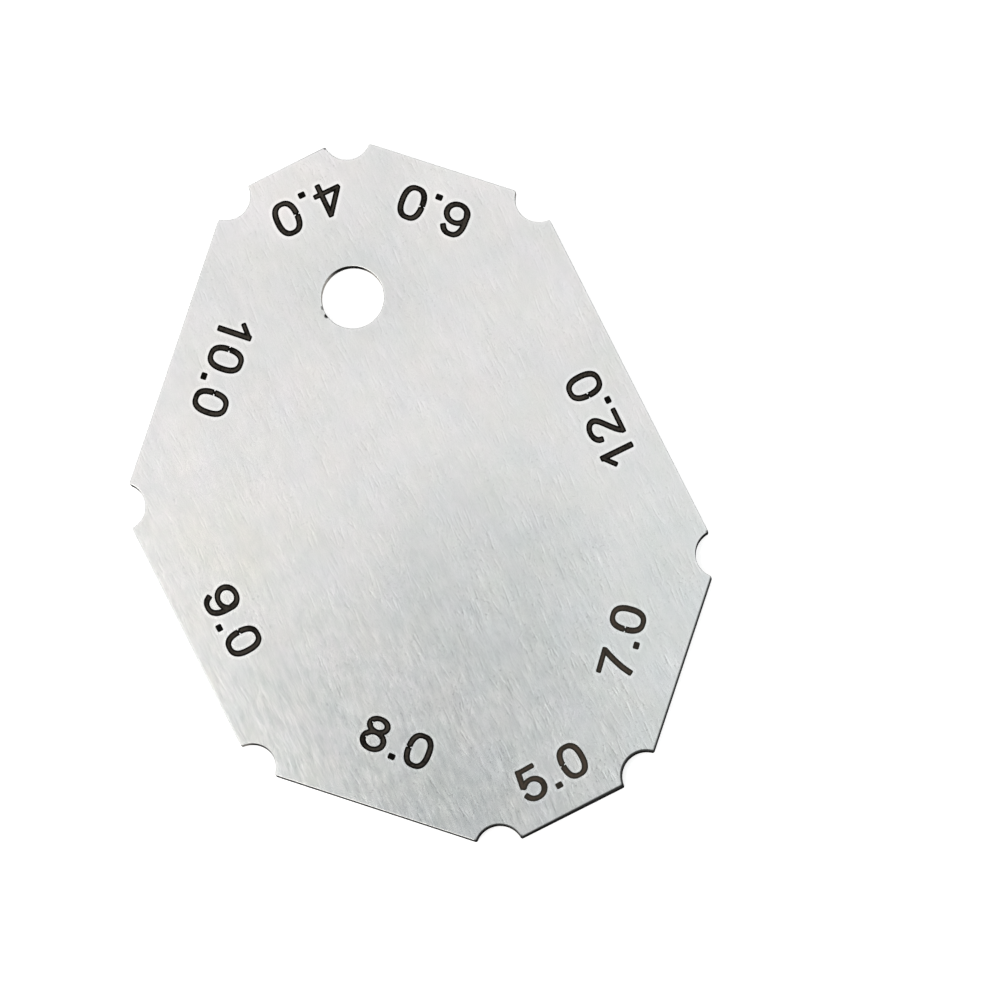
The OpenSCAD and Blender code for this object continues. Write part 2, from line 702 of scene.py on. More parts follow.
# %% [markdown]
# ## Building blocks for the finishes
# All finishes share a few effects, and each effect is a node group that is built once. The
# helpers below add a node and wire it in one call: a socket is linked, anything else becomes
# the value of that input. With one helper each for sums, vectors, ramps and mixed colours, a
# material reads like a short formula.

# %% Node helpers
def set_inputs(tree, node, inputs):
    """Links the sockets among these values to a node's inputs and stores the others there."""
    for name, value in inputs.items():
        if isinstance(value, bpy.types.NodeSocket):
            tree.links.new(value, node.inputs[name])
        else:
            node.inputs[name].default_value = value


def add(tree, kind, inputs=None, **settings):
    """A new shader node with its settings and inputs."""
    made = tree.nodes.new("ShaderNode" + kind)
    for name, value in settings.items():
        setattr(made, name, value)
    set_inputs(tree, made, inputs or {})
    return made


def math_node(tree, operation, a, b, clamp=False):
    """The result of one sum, with sockets or numbers as its values."""
    return add(tree, "Math", {0: a, 1: b}, operation=operation, use_clamp=clamp).outputs[0]


def vector_node(tree, operation, a, b):
    """The result of one sum with vectors. Only a scale takes a number as b."""
    second = "Scale" if operation == "SCALE" else 1
    made = add(tree, "VectorMath", {0: a, second: b}, operation=operation)
    return made.outputs["Value" if operation in ("DOT_PRODUCT", "DISTANCE") else "Vector"]


def ramp(tree, value, low, high, first=0.0, last=1.0, soft=False, clamp=True):
    """A value that goes from first to last while another one goes from low to high."""
    ends = {"From Min": low, "From Max": high, "To Min": first, "To Max": last}
    shape = "SMOOTHSTEP" if soft else "LINEAR"
    made = add(tree, "MapRange", {"Value": value, **ends}, interpolation_type=shape, clamp=clamp)
    return made.outputs[0]


def mix(tree, share, first, second):
    """A colour that is this share of the way from the first to the second."""
    first, second = [(*c, 1) if isinstance(c, tuple) else c for c in (first, second)]
    return add(tree, "Mix", {"Factor": share, 6: first, 7: second}, data_type="RGBA").outputs[2]


# %% [markdown]
# A group has sockets of its own, which are declared before its nodes can use them. Each copy
# of a group in a material then gets its own values for them.

# %% Helpers for groups
def new_group(name, inputs, outputs):
    """An empty node group. A socket is given as name: type, or as name: (type, default)."""
    group = bpy.data.node_groups.new(name, "ShaderNodeTree")
    for way, sockets in (("INPUT", inputs), ("OUTPUT", outputs)):
        for socket, kind in sockets.items():
            kind, default = kind if isinstance(kind, tuple) else (kind, None)
            made = group.interface.new_socket(socket, in_out=way, socket_type="NodeSocket" + kind)
            if default is not None:
                made.default_value = default
    starts = group.nodes.new("NodeGroupInput").outputs
    ends = group.nodes.new("NodeGroupOutput").inputs
    return group, starts, ends


def use_group(tree, group, inputs=None):
    """The outputs of a copy of a group inside a material, with its own values."""
    made = tree.nodes.new("ShaderNodeGroup")
    made.node_tree = group
    set_inputs(tree, made, inputs or {})
    return made.outputs


# %% [markdown]
# The first group gives the place on the metal in millimetres. It starts from the object's own
# coordinates, so a pattern stays on the metal when the camera or the gauge moves. The second
# is a grain whose cells can be stretched differently in each direction: long and thin it
# makes brush lines, upright and thin it makes the lines of a laser cut, and even it makes
# blotches. One noise texture serves for all of these, because only its cells change.

# %% Groups for place and grain
place_group, _, place_out = new_group("Place in mm", {}, {"Place": "Vector"})
object_place = add(place_group, "TexCoord").outputs["Object"]
place_group.links.new(vector_node(place_group, "SCALE", object_place, 1 / MM), place_out["Place"])

NOISE_RANGE = (0.3, 0.7)
grain_group, grain_in, grain_out = new_group(
    "Stretched grain",
    {"Place": "Vector", "Cell": ("Vector", (1, 1, 1)), "Shift": ("Vector", (0, 0, 0)),
     "Detail": ("Float", 2.0)},
    {"Grain": "Float"})
shifted = vector_node(grain_group, "ADD", grain_in["Place"], grain_in["Shift"])
celled = vector_node(grain_group, "DIVIDE", shifted, grain_in["Cell"])
noise = add(grain_group, "TexNoise", {
    "Vector": celled, "Scale": 1.0, "Detail": grain_in["Detail"]}).outputs["Fac"]
spread = ramp(grain_group, noise, *NOISE_RANGE, -1.0, 1.0, clamp=False)
grain_group.links.new(spread, grain_out["Grain"])
print("groups:", [group.name for group in bpy.data.node_groups])

# %% [markdown]
# The third group answers how far a point of the face is from the nearest cut. This distance
# drives a thin paler rim along the edges. A side is a line, and the distance to a line is one
# dot product. A relief or the hole is a circle, and the distance to it is the distance to its
# centre less its radius. A loop builds those nodes, and the smallest distance is kept.

# %% Group for the distance to the edge
def level(tree, place):
    """The place without its height."""
    return vector_node(tree, "MULTIPLY", place, (1, 1, 0))


edge_group, edge_in, edge_out = new_group(
    "Distance to the edge", {"Place": "Vector"}, {"Distance": "Float"})
level_place = level(edge_group, edge_in["Place"])
distances = []
for side in sides:
    reach = vector_node(edge_group, "DOT_PRODUCT", level_place, side.out.to_3d())
    distances.append(math_node(edge_group, "SUBTRACT", side.out.dot(side.middle), reach))
for centre, radius in [(corner, RELIEF_R) for corner in corners] + [(hole_at, hole_r)]:
    reach = vector_node(edge_group, "DISTANCE", level_place, centre.to_3d())
    distances.append(math_node(edge_group, "SUBTRACT", reach, radius))
nearest = distances[0]
for away in distances[1:]:
    nearest = math_node(edge_group, "MINIMUM", nearest, away)
edge_group.links.new(nearest, edge_out["Distance"])
print(f"the edge group has {len(edge_group.nodes)} nodes")

# %% [markdown]
# A spot is the simplest mask: full near one point, and fading out with the distance from it.
# It places whatever is found in one area only, such as a patch of painted shade, a tip
# darkened by painted shade or a speck of soot. A spot a little wider than a relief shows up as
# a dark margin round its rim.

# %% Group for spots
spot_group, spot_in, spot_out = new_group(
    "Spot", {"Place": "Vector", "At": "Vector", "Inner": "Float", "Outer": "Float"},
    {"Mask": "Float"})
reach = vector_node(spot_group, "DISTANCE", level(spot_group, spot_in["Place"]), spot_in["At"])
fading = ramp(spot_group, reach, spot_in["Inner"], spot_in["Outer"], 1.0, 0.0, soft=True)
spot_group.links.new(fading, spot_out["Mask"])
print("groups:", [group.name for group in bpy.data.node_groups])

# %% [markdown]
# Materials are written in the same few words again and again: start an empty material, add
# up layers by their amounts, call for a grain or a spot, or turn a pattern. Each gets a small
# helper, so a finish reads like a recipe.

# %% Helpers for materials
def new_material(name):
    """An empty node material, its node tree and the socket that takes its shader."""
    material = bpy.data.materials.new(name)
    material.use_nodes = True
    tree = material.node_tree
    tree.nodes.clear()
    return material, tree, tree.nodes.new("ShaderNodeOutputMaterial").inputs["Surface"]


def scaled_sum(tree, parts, start=0.0):
    """The sum of sockets, each times its own amount."""
    total = start
    for socket, amount in parts:
        terms = {0: socket, 1: amount, 2: total}
        total = add(tree, "Math", terms, operation="MULTIPLY_ADD").outputs[0]
    return total


def grain(tree, place, cell, shift=(0, 0, 0), detail=2.0):
    """One stretched grain, from about -1 to 1."""
    values = {"Place": place, "Cell": cell, "Shift": shift, "Detail": detail}
    return use_group(tree, grain_group, values)["Grain"]


def spot(tree, place, at, inner, outer):
    """A mask that is 1 within inner of a point on the sheet and 0 beyond outer."""
    values = {"Place": place, "At": Vector(at).to_3d(), "Inner": inner, "Outer": outer}
    return use_group(tree, spot_group, values)["Mask"]


def add_spots(tree, place, spots, start):
    """A value plus spots, each given as centre, inner radius, outer radius and amount."""
    parts = [(spot(tree, place, *where), amount) for *where, amount in spots]
    return scaled_sum(tree, parts, start)


def turned(tree, place, degrees):
    """The place turned about the vertical, for lines that lean to one side."""
    values = {"Vector": place, "Angle": math.radians(degrees)}
    return add(tree, "VectorRotate", values, rotation_type="Z_AXIS").outputs[0]


# %% [markdown]
# Some rims are painted darker, as painted shade of the rolled edges and the cut walls beside
# them. The 5.0 side has a dark band and three other sides a thinner one, some reliefs and the
# hole have a dark margin, and a few tips are darkened, all of it painted shade. Real specks of
# soot stick to the hole. A band is all that lies beyond a slightly slanted line. A margin, a
# darkened tip or a speck is a spot, and where the centre of a margin is moved a little, the
# margin fades out on one side. The darkest of them all wins. The face and the rounded edge
# share the result, so the darkening runs from one to the other without a seam.

# %% Group for painted shade and soot at the rims
BAND_FADE = 0.08
# Painted shade: dark bands along the rolled edges of these sides
# Side, width of the band at the side's middle, slant of its border, strength
EDGE_SHADE_BANDS = [
    ("5", 0.16, 0.012, 0.95),
    ("7", 0.12, 0.000, 0.85),
    ("8", 0.05, 0.000, 0.60),
    ("4", 0.01, -0.030, 0.70),
]
# Painted shade at reliefs, tips and the hole's rim, and real specks of soot by the hole
# Centre, radius up to which it is dark, radius where the darkening ends, strength
SHADE_AND_SOOT_SPOTS = [
    (reliefs["7/5"], RELIEF_R + 0.08, RELIEF_R + 0.15, 0.92),
    (reliefs["5/8"], RELIEF_R + 0.05, RELIEF_R + 0.12, 0.92),
    (reliefs["12/7"] + Vector((0.00, 0.08)), RELIEF_R - 0.06, RELIEF_R, 0.90),
    (reliefs["8/9"] + Vector((0.15, 0.07)), RELIEF_R - 0.13, RELIEF_R - 0.08, 0.70),
    (tips["5 start"], 0.14, 0.34, 0.97),
    (tips["5 end"], 0.10, 0.28, 0.97),
    (tips["7 end"], 0.08, 0.26, 0.95),
    (tips["12 end"], 0.08, 0.24, 0.90),
    (tips["8 start"], 0.08, 0.24, 0.90),
    (tips["4 end"] + Vector((-0.05, -0.08)), 0.06, 0.13, 0.65),
    (hole_at + Vector((0.00, 0.14)), 1.77, 1.83, 0.80),
    (hole_at + Vector((-1.905, 0.300)), 0.05, 0.12, 0.70),
    (hole_at + Vector((-1.925, 0.215)), 0.05, 0.12, 0.75),
    (hole_at + Vector((-1.907, -0.294)), 0.09, 0.20, 0.97),
    (hole_at + Vector((-2.000, 0.000)), 0.10, 0.30, 0.12),
]
shade_and_soot_group, shade_and_soot_in, shade_and_soot_out = new_group(
    "Painted shade and soot at rims", {"Place": "Vector"}, {"Shade": "Float"})
# Each darkening below is painted shade, except the soot specks by the hole
burns = []
for size, width, slant, strength in EDGE_SHADE_BANDS:
    side = next(side for side in sides if side.size == size)
    out = side.out + Vector((-side.out.y, side.out.x)) * slant
    reach = vector_node(shade_and_soot_group, "DOT_PRODUCT", shade_and_soot_in["Place"], out.to_3d())
    beyond = math_node(shade_and_soot_group, "ADD", reach, width - out.dot(side.middle))
    burns.append((ramp(shade_and_soot_group, beyond, 0.0, BAND_FADE), strength))
for *where, strength in SHADE_AND_SOOT_SPOTS:
    burns.append((spot(shade_and_soot_group, shade_and_soot_in["Place"], *where), strength))
darkest = 0.0
for mask, strength in burns:
    darkening = math_node(shade_and_soot_group, "MULTIPLY", mask, strength)
    darkest = math_node(shade_and_soot_group, "MAXIMUM", darkening, darkest)
shade = math_node(shade_and_soot_group, "SUBTRACT", 1.0, darkest)
shade_and_soot_group.links.new(shade, shade_and_soot_out["Shade"])
print(f"the shade and soot group has {len(shade_and_soot_group.nodes)} nodes")

# %% [markdown]
# ## The brushed face
# Satin stainless is drawn along the sheet with an abrasive belt. Up close the face is a field
# of fine lines that lean a few degrees to both sides, with a few sharper scratches and some
# dull specks. Each layer is one stretched grain. A scratch gets a painted highlight on one
# flank and a painted shade on the other, the light and shade of a tiny groove. The layers
# change the colour by only a few percent, and they also change the roughness and the bump, so
# the lines wake up where light grazes them. Towards the 5.0 end the marks' colour is painted
# stronger, as painted highlight and shade where light grazes that end of the face.

# %% Brush marks
# How far a scratch's painted shade lies beside its painted highlight
FLANK = 0.09
SCRATCH_FADE = 0.25
# Painted light: round this point at the 5.0 end the marks' painted contrast is raised, where light
# grazes the face
# Centre, radius at full strength, radius where it ends
GRAZING_LIGHT_END = ((1.0, -19.0), 4.0, 18.0)


def scratches_with_painted_glint(tree, place, cell, shift, rarity):
    """Sparse strokes with a painted highlight flank at 1 and a painted shade flank at -1."""
    flanks = []
    for at in (shift, (shift[0] + FLANK, shift[1], shift[2])):
        strokes = grain(tree, place, cell, shift=at, detail=0.0)
        flanks.append(ramp(tree, strokes, rarity, rarity + SCRATCH_FADE))
    return math_node(tree, "SUBTRACT", *flanks)


def brush_marks(tree, place):
    """The fine layers as a change of brightness, as a height and as a roughness."""
    to_left = turned(tree, place, 6)
    to_right = turned(tree, place, -5)
    mottle = grain(tree, place, (0.30, 0.42, 1.0), shift=(40, 8, 0))
    hairs = grain(tree, to_left, (0.22, 2.0, 1.0), detail=1.0)
    crossed = grain(tree, to_right, (0.24, 2.6, 1.0), shift=(17, 40, 0), detail=1.0)
    lines = grain(tree, place, (0.28, 7.0, 1.0), shift=(9, 4, 0), detail=1.0)
    # These scratches carry a painted highlight and a painted shade in the colour
    leaning = scratches_with_painted_glint(tree, to_left, (0.15, 1.8, 1.0), (70, 3, 0), 1.10)
    upright = scratches_with_painted_glint(tree, to_right, (0.16, 1.3, 1.0), (5, 90, 0), 1.05)
    short = scratches_with_painted_glint(tree, to_left, (0.24, 0.38, 1.0), (33, 21, 0), 0.85)
    dots = grain(tree, place, (0.16, 0.18, 1.0), shift=(25, 60, 0), detail=0.0)
    specks = ramp(tree, dots, 1.05, 1.25)
    fine = scaled_sum(tree, [
        (mottle, 0.012), (hairs, 0.013), (crossed, 0.012), (lines, 0.011),
        (leaning, 0.054), (upright, 0.044), (short, 0.034), (specks, -0.06)])
    bands = grain(tree, place, (2.2, 3.2, 1.0), shift=(8, 70, 0), detail=1.0)
    busy = scaled_sum(tree, [(bands, 0.6)], start=1.0)
    # Painted light: the marks are painted stronger towards the 5.0 end, where light grazes the
    # face
    grazing_light = scaled_sum(tree, [(spot(tree, place, *GRAZING_LIGHT_END), 1.2)], start=1.0)
    fine = math_node(tree, "MULTIPLY", fine, math_node(tree, "MULTIPLY", busy, grazing_light))
    height = scaled_sum(tree, [
        (hairs, 0.25), (crossed, 0.25), (lines, 0.25), (leaning, 0.15), (mottle, 0.3)])
    rough = scaled_sum(tree, [(hairs, 0.012), (leaning, -0.02)], start=0.20)
    return fine, height, rough


# %% [markdown]
# Under the brush marks lie broader changes: small patches and faint clouds, and a list of wide
# spots of painted shade and painted sheen, where the face mirrors darker or brighter parts of
# the room. The steel isn't quite neutral either. It drifts a little between warm and cool, and
# one area by the 10.0 side is yellowish.

# %% Tones and tints of the face
STEEL = (0.797, 0.800, 0.803)
# Centre, radius at full strength, radius where it ends, and then the change of brightness
YELLOWISH = ((-10.5, 2.0), 1.0, 6.0)
# Painted shade and painted sheen: each spot darkens or brightens the face where it mirrors a
# darker or brighter part of the room
SHEEN_AND_SHADE_SPOTS = [
    ((2.0, -7.5), 3.0, 10.0, -0.066),
    ((3.5, 13.0), 1.5, 5.5, -0.048),
    ((-5.5, 7.0), 1.0, 8.0, 0.020),
    ((-13.0, 7.0), 1.0, 6.0, 0.035),
    ((-7.5, -17.0), 2.0, 6.2, -0.072),
    ((2.0, 21.0), 0.5, 5.0, 0.070),
    ((-14.0, -8.5), 2.0, 8.0, -0.045),
    ((2.4, 5.0), 1.0, 4.5, 0.022),
    ((11.6, -12.6), 1.0, 5.0, -0.028),
    ((-2.2, -10.0), 1.0, 5.0, 0.020),
    ((11.3, 17.2), 0.5, 3.5, 0.028),
    ((-8.8, 15.0), 0.5, 3.5, 0.025),
]


def face_tones(tree, place):
    """The broad layers and the spots of painted shade and sheen as a change of brightness, and the
    small patches among them.
    """
    patches = grain(tree, place, (0.7, 1.1, 1.0), shift=(31, 7, 0))
    clouds = grain(tree, place, (3.0, 4.2, 1.0), shift=(3, 50, 0), detail=1.0)
    broad = scaled_sum(tree, [(patches, 0.020), (clouds, 0.021)])
    return add_spots(tree, place, SHEEN_AND_SHADE_SPOTS, broad), patches


def face_tint(tree, place, broad):
    """What the steel's red, green and blue are multiplied by."""
    greens = grain(tree, place, (0.32, 0.44, 1.0), shift=(61, 27, 0))
    reds = grain(tree, place, (2.0, 2.6, 1.0), shift=(14, 31, 0), detail=1.0)
    blues = grain(tree, place, (2.2, 3.0, 1.0), shift=(51, 12, 0), detail=1.0)
    yellow = spot(tree, place, *YELLOWISH)
    # Red follows the broad layers, painted shade and sheen included, so brighter places are warmer
    red = scaled_sum(tree, [(reds, 0.012), (greens, 0.008), (broad, 0.25)], start=1.0)
    blue = scaled_sum(tree, [(blues, 0.016), (greens, 0.008), (yellow, -0.028)], start=1.0)
    return add(tree, "CombineXYZ", {0: red, 1: 1.0, 2: blue}).outputs[0]


# %% [markdown]
# The face brings these layers together. Along its edges it gets the paler rim, round the
# numbers it is paler where the mesh will say so by an attribute called halo, and the painted
# shade and soot at the rims darken it last. The bump is a few thousandths of a millimetre, as on
# real satin.

# %% Material of the face
# Distances from the edge where the paler rim starts to fade and where it ends
RIM_FADE = (0.06, 0.24)
RIM_BRIGHTNESS = 1.05
# How much brighter a ring is, and the value of the halo attribute from which it is so
HALO_AMOUNT = 0.14
HALO_FULL = 0.5


def satin_face():
    material, tree, surface = new_material("satin_face")
    place = use_group(tree, place_group)["Place"]
    fine, height, rough = brush_marks(tree, place)
    broad, patches = face_tones(tree, place)
    edge = use_group(tree, edge_group, {"Place": place})["Distance"]
    rim = ramp(tree, edge, *RIM_FADE, RIM_BRIGHTNESS, 1.0, soft=True)
    stored = add(tree, "Attribute", attribute_name="halo").outputs["Fac"]
    halo = ramp(tree, stored, 0.0, HALO_FULL)
    pale = scaled_sum(tree, [(halo, HALO_AMOUNT)], start=rim)
    # Painted shade along some rims, and real soot specks by the hole
    burnt = use_group(tree, shade_and_soot_group, {"Place": place})["Shade"]
    shade = scaled_sum(tree, [(broad, 1.0), (fine, 1.0)], start=1.0)
    shade = math_node(tree, "MULTIPLY", shade, pale)
    shade = math_node(tree, "MULTIPLY", shade, burnt)
    tinted = vector_node(tree, "MULTIPLY", STEEL, face_tint(tree, place, broad))
    colour = vector_node(tree, "SCALE", tinted, shade)
    rough = scaled_sum(tree, [(patches, 0.015)], start=rough)
    bump = add(tree, "Bump", {"Height": height, "Strength": 0.3, "Distance": 0.004 * MM})
    shader = add(tree, "BsdfPrincipled", {
        "Base Color": colour, "Roughness": rough, "Metallic": 1.0, "Normal": bump.outputs[0]})
    tree.links.new(shader.outputs[0], surface)
    return material


face_material = satin_face()
print(f"{face_material.name} has {len(face_material.node_tree.nodes)} nodes")

# %% [markdown]
# ## The cut walls and the rounded edges
# A laser melts its way through the sheet. The molten metal leaves upright lines on the wall
# and a dark grey oxide, so the walls look almost black beside the bright face. In a few places
# the wall is painted paler, as painted light where the lamps light it. Tumbling the blank then
# rounds its edges, and there the steel is bright again but less even than the face.

# %% Materials of the walls and edges
WALL = (0.018, 0.017, 0.016)
# Centre, radius at full strength, radius where it ends, how many times the colour is added
# Painted light: spots where the wall is lit, which brighten its colour
LIT_WALL_SPOTS = [
    (hole_at + Vector((-1.45, 1.22)), 0.4, 1.6, 34.0),
    (hole_at + Vector((1.85, 0.40)), 0.4, 1.2, 25.0),
    (reliefs["6/12"], RELIEF_R, RELIEF_R + 0.1, 16.0),
    (reliefs["8/9"] + Vector((0.00, RELIEF_R)), 0.2, 0.8, 18.0),
]


def cut_wall():
    material, tree, surface = new_material("cut_wall")
    place = use_group(tree, place_group)["Place"]
    ribs = grain(tree, place, (0.10, 0.10, 5.0))
    streaks = grain(tree, place, (0.5, 0.5, 0.9), shift=(11, 2, 0), detail=1.0)
    shade = scaled_sum(tree, [(ribs, 0.20), (streaks, 0.22)], start=1.0)
    # The spots add painted light to the wall's colour
    colour = vector_node(tree, "SCALE", WALL, add_spots(tree, place, LIT_WALL_SPOTS, shade))
    rough = scaled_sum(tree, [(ribs, 0.05)], start=0.55)
    bump = add(tree, "Bump", {"Height": ribs, "Strength": 0.6, "Distance": 0.012 * MM})
    shader = add(tree, "BsdfPrincipled", {
        "Base Color": colour, "Roughness": rough, "Normal": bump.outputs[0],
        "Specular IOR Level": 0.0})
    tree.links.new(shader.outputs[0], surface)
    return material


def rounded_edge():
    material, tree, surface = new_material("rounded_edge")
    place = use_group(tree, place_group)["Place"]
    pits = grain(tree, place, (0.07, 0.07, 0.07))
    # Painted shade along some rims, and real soot specks by the hole
    burnt = use_group(tree, shade_and_soot_group, {"Place": place})["Shade"]
    shade = math_node(tree, "MULTIPLY", scaled_sum(tree, [(pits, 0.06)], start=1.02), burnt)
    colour = vector_node(tree, "SCALE", STEEL, shade)
    rough = scaled_sum(tree, [(pits, 0.05)], start=0.42)
    shader = add(tree, "BsdfPrincipled", {
        "Base Color": colour, "Roughness": rough, "Metallic": 1.0})
    tree.links.new(shader.outputs[0], surface)
    return material


wall_material = cut_wall()
edge_material = rounded_edge()
print("made", wall_material.name, "and", edge_material.name)

# %% [markdown]
# ## The burnt numbers
# The beam leaves a matt brown-black oxide that sits a few hundredths of a millimetre deep. It
# is darkest along the borders of a stroke and a little greyer along the middle. The mesh
# stores that as a point attribute called core, which is 0 at the border and 1 in the middle.
# A second one, pale, is high on the two numbers that were burnt more lightly and came out
# browner. The material only has to mix four colours by these two.

# %% Material of the numbers
BORDER = (0.002, 0.0015, 0.001)
CORE = (0.048, 0.041, 0.034)
PALE_BORDER = (0.027, 0.0235, 0.0185)
PALE_CORE = (0.064, 0.048, 0.037)
CORE_FROM = 0.75


def laser_oxide():
    material, tree, surface = new_material("laser_oxide")
    place = use_group(tree, place_group)["Place"]
    soot = grain(tree, place, (0.14, 0.14, 1.0), detail=3.0)
    drift = grain(tree, place, (0.9, 0.9, 1.0), shift=(3, 17, 0), detail=1.0)
    core, pale = [add(tree, "Attribute", attribute_name=name).outputs["Fac"]
                  for name in ("core", "pale")]
    uneven = scaled_sum(tree, [(soot, 0.45), (drift, 0.45)], start=0.75)
    share = math_node(tree, "MULTIPLY", ramp(tree, core, CORE_FROM, 1.0), uneven, clamp=True)
    dark = mix(tree, share, BORDER, CORE)
    brown = mix(tree, share, PALE_BORDER, PALE_CORE)
    rough = scaled_sum(tree, [(soot, 0.08)], start=0.62)
    bump = add(tree, "Bump", {"Height": soot, "Strength": 0.5, "Distance": 0.008 * MM})
    shader = add(tree, "BsdfPrincipled", {
        "Base Color": mix(tree, pale, dark, brown), "Roughness": rough,
        "Normal": bump.outputs[0], "Specular IOR Level": 0.05})
    tree.links.new(shader.outputs[0], surface)
    return material


oxide_material = laser_oxide()
print("made", oxide_material.name)

# %% [markdown]
# ## The plate
# From its underside up, the wall of the plate is a stack of rings: out round the lower edge,
# straight up, and in round the upper edge. The cut's dark colour also covers the steep half of
# each rounding, partly as the cut's oxide and partly as painted shade for the dark that a steep
# rounding mirrors, so the bright edge starts halfway. The outline and the hole are two such
# stacks, made by one function from their own shapes.

# %% The rounded wall
EDGE_ROUND = 0.06
EDGE_STEPS = 4
FACE, EDGE, CUT, BURNT = range(4)


def edge_profile():
    """Insets and heights of the rings from the lower face to the upper one."""
    quarter = [math.radians(90 * k / EDGE_STEPS) for k in range(EDGE_STEPS + 1)]
    steps = [(EDGE_ROUND * (1 - math.cos(a)), EDGE_ROUND * (1 - math.sin(a))) for a in quarter]
    return steps[::-1] + [(inset, sheet_t - drop) for inset, drop in steps]


def cut_edge(bm, shape):
    """The rounded wall along one outline. Returns its lowest and its highest ring."""
    rings = [ring(bm, shape(inset), z) for inset, z in edge_profile()]
    for k, (lower, upper) in enumerate(zip(rings, rings[1:])):
        # Painted shade: the steep half of each rounding takes the cut wall's dark colour
        bridge(bm, lower, upper, CUT if abs(k - EDGE_STEPS) <= EDGE_STEPS // 2 else EDGE)
    return rings[0], rings[-1]


print(f"a wall is a stack of {len(edge_profile())} rings")

# %% [markdown]
# Faces close the stacks above and below. The numbers are shallow recesses in the upper face,
# and the lines of the pale rings lie flat on it, so that the mesh has points there. The halo
# attribute is 1 at a recess and 0 at its ring, and it fades between them. All of it stays one
# closed mesh, as the real gauge is one piece of steel.

# %% Build the plate
RECESS = 0.03
RECESS_SLOPE = 0.008

bm = bmesh.new()
halo = bm.verts.layers.float.new("halo")
rim_low, rim_high = cut_edge(bm, outline)
hole_low, hole_high = cut_edge(bm, hole_rim)
tops = []
floors = []
for loops in mark_edges.values():
    for loop in loops:
        top = ring(bm, loop, sheet_t)
        for vert in top:
            vert[halo] = 1.0
        floor_ring = ring(bm, inward(loop, RECESS_SLOPE), sheet_t - RECESS)
        bridge(bm, floor_ring, top, BURNT)
        tops.append(top)
        floors.append(floor_ring)
halos = [ring(bm, loop, sheet_t) for loops in mark_halos.values() for loop in loops]
marked_area = fill(bm, [rim_high, hole_high] + halos, FACE)
marked_area += fill(bm, halos + tops, FACE)
plain_area = fill(bm, [rim_low, hole_low], FACE)
burnt_area = fill(bm, floors, BURNT)
for face in bm.faces:
    face.smooth = face.material_index in (EDGE, CUT)
finishes = [face_material, edge_material, wall_material, oxide_material]
plate = finished_object(bm, "steel_plate", finishes)
print(f"marked face {marked_area:.1f} mm2, plain face {plain_area:.1f} mm2")
print(f"the recesses take {burnt_area:.1f} mm2")

# %% [markdown]
# ## The dark inlays
# Each number is a thin closed skin of oxide that lies in its recess, just below the face, with
# a hair of room at the sides. A separate piece gives it a clean border at any distance, and
# keeps its finish apart from the steel's. Its top has two levels: a border at one height and
# a slightly sunken middle, with the core attribute set to match. The decimal points are too
# small for a middle. The pale attribute is the same all over one number.

# %% Build the numbers
INLAY_TOP = 0.006
INLAY_SUNK = 0.010
INLAY_BASE = 0.024
INLAY_ROOM = 0.006


def build_mark(side):
    """The oxide skin of one number."""
    bm = bmesh.new()
    core = bm.verts.layers.float.new("core")
    pale = bm.verts.layers.float.new("pale")
    borders = []
    bases = []
    for loop in mark_edges[side.size]:
        shrunk = inward(loop, INLAY_ROOM)
        border = ring(bm, shrunk, sheet_t - INLAY_TOP)
        base = ring(bm, shrunk, sheet_t - INLAY_BASE)
        bridge(bm, base, border, 0)
        borders.append(border)
        bases.append(base)
    cores = [ring(bm, loop, sheet_t - INLAY_SUNK) for loop in mark_cores[side.size]]
    for points in cores:
        for vert in points:
            vert[core] = 1.0
    area = fill(bm, borders + cores, 0)
    area += fill(bm, cores, 0)
    fill(bm, bases, 0)
    for vert in bm.verts:
        vert[pale] = MARKS[side.size].pale
    print(f"{area:.2f} mm2 of oxide")
    return finished_object(bm, f"mark_{side.size}_0", [oxide_material])


marks = [build_mark(side) for side in sides]

# %% [markdown]
# ## Floor
# The gauge lies on its plain face on a white bench. The bench is a plain matt surface that
# takes the gauge's shadow. The camera, and metal that mirrors the bench, also see a little
# glow on it, which lifts it to white without shining more light on the gauge. Seen from below
# the bench is clear, so the plain face can be looked at too. It lies a hair under the gauge,
# because two faces at the very same height would flicker into each other.

# %% Floor
BENCH_HALF = 3000
BENCH_WHITE = (0.86, 0.86, 0.86, 1)
BENCH_GLOW = 0.62
BENCH_GAP = 0.02


def bench_material():
    material, tree, surface = new_material("white_bench")
    rays = add(tree, "LightPath").outputs
    seen = math_node(tree, "MAXIMUM", rays["Is Camera Ray"], rays["Is Glossy Ray"])
    seen = math_node(tree, "MAXIMUM", seen, rays["Is Transmission Ray"])
    matt = add(tree, "BsdfDiffuse", {"Color": BENCH_WHITE})
    glow = add(tree, "Emission", {"Strength": math_node(tree, "MULTIPLY", seen, BENCH_GLOW)})
    both = add(tree, "AddShader", {0: matt.outputs[0], 1: glow.outputs[0]})
    backfacing = add(tree, "NewGeometry").outputs["Backfacing"]
    from_below = math_node(tree, "MULTIPLY", backfacing, rays["Is Camera Ray"])
    clear = add(tree, "BsdfTransparent").outputs[0]
    shown = add(tree, "MixShader", {0: from_below, 1: both.outputs[0], 2: clear})
    tree.links.new(shown.outputs[0], surface)
    return material


bm = bmesh.new()
bmesh.ops.create_grid(bm, x_segments=1, y_segments=1, size=BENCH_HALF)
bench = finished_object(bm, "bench", [bench_material()])
bench.location.z = -BENCH_GAP * MM
print(f"the bench is {2 * BENCH_HALF * MM:.0f} m wide")

# %% [markdown]
# ## Soft studio light
# The sky gives an even light from everywhere. Towards the south it turns into a slightly
# dimmer curtain, and towards the north into a bright window. The satin face mirrors these two
# only when it is seen from low down, while the rounded edges always pick up a bit of both.

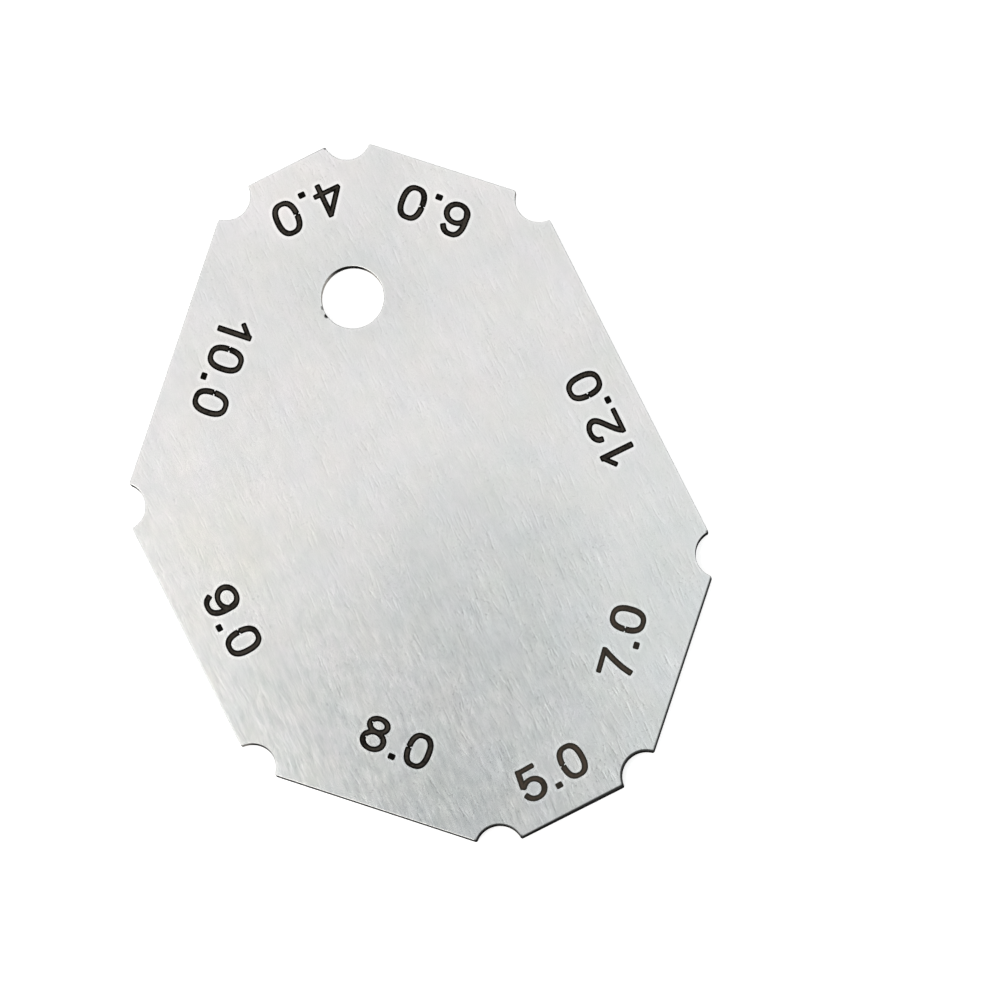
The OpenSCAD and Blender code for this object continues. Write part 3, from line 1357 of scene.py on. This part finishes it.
# %% Sky, curtain and window
SKY = (0.435, 0.455, 0.462)
CURTAIN = (0.34, 0.35, 0.35)
WINDOW = (0.95, 0.95, 0.95)
# How far a direction leans north, from where the change starts to where it is complete
TO_CURTAIN = (-0.35, -0.85)
TO_WINDOW = (0.45, 0.85)
world = bpy.data.worlds.new("studio")
bpy.context.scene.world = world
world.use_nodes = True
studio = world.node_tree
direction = add(studio, "TexCoord").outputs["Generated"]
northward = add(studio, "SeparateXYZ", {0: direction}).outputs["Y"]
sky = mix(studio, ramp(studio, northward, *TO_CURTAIN, soft=True), SKY, CURTAIN)
sky = mix(studio, ramp(studio, northward, *TO_WINDOW, soft=True), sky, WINDOW)
set_inputs(studio, studio.nodes["Background"], {"Color": sky, "Strength": 1.0})
print(f"the sky has {len(studio.nodes)} nodes")

# %% [markdown]
# Flat lamps add shape. A helper works out a lamp's power from how bright its surface should
# look, with 1 as bright as white paper, so the numbers mean the same for a lamp of any size.
# Seen from above, the face mirrors only what hangs almost straight over it, softly blurred.
# Three level panels are arranged there: one over the upper part of the face, a bright warm one
# just beyond its lower left, whose blur reaches in, and one over its lower right. The slot
# between the last two shows the plain sky. Two boxes at the sides light the edges. The view
# transform called Standard then shows every brightness as it is.

# %% Lights
PANEL_HEIGHT = 161
# The spans in X and Y that a panel covers, and the brightness of its red, green and blue
PANELS = {
    "panel_top": ((-195, 205), (13.3, 173.3), (0.49, 0.46, 0.44)),
    "panel_left": ((-187.3, -27.3), (-76.2, 13.3), (2.75, 2.62, 2.40)),
    "panel_right": ((6.2, 168.7), (-76.2, 13.3), (0.43, 0.45, 0.43)),
}
SIDE_BOXES = {"box_left": (-1000, 200, 750), "box_right": (1000, -200, 750)}
SIDE_BOX_SIZE = (1000, 1000)
SIDE_BOX_BRIGHTNESS = 0.6


def soft_box(name, size, place, target, brightness, colour=(1, 1, 1)):
    """A flat lamp that faces a target and looks as bright as asked."""
    data = bpy.data.lights.new(name, "AREA")
    data.shape = "RECTANGLE"
    data.size = size[0] * MM
    data.size_y = size[1] * MM
    data.color = colour
    data.energy = brightness * math.pi * data.size * data.size_y
    lamp = bpy.data.objects.new(name, data)
    lamp.location = Vector(place) * MM
    lamp.rotation_mode = "QUATERNION"
    lamp.rotation_quaternion = (Vector(target) - Vector(place)).to_track_quat("-Z", "Y")
    bpy.context.scene.collection.objects.link(lamp)
    print(f"{name}: {data.energy:.2f} W")


def panel(name, across, along, brightness):
    """A lamp that hangs level over the gauge and covers these spans."""
    size = [span[1] - span[0] for span in (across, along)]
    middle = [(span[1] + span[0]) / 2 for span in (across, along)]
    peak = max(brightness)
    colour = [value / peak for value in brightness]
    soft_box(name, size, (*middle, PANEL_HEIGHT), (*middle, 0), peak, colour)


for name, facts in PANELS.items():
    panel(name, *facts)
for name, place in SIDE_BOXES.items():
    soft_box(name, SIDE_BOX_SIZE, place, (0, 0, 0), SIDE_BOX_BRIGHTNESS)
bpy.context.scene.view_settings.view_transform = "Standard"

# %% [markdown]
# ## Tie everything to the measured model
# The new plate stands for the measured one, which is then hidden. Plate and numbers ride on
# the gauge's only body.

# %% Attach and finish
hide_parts("gauge_plate")
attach(plate, "root")
for mark in marks:
    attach(mark, "root")
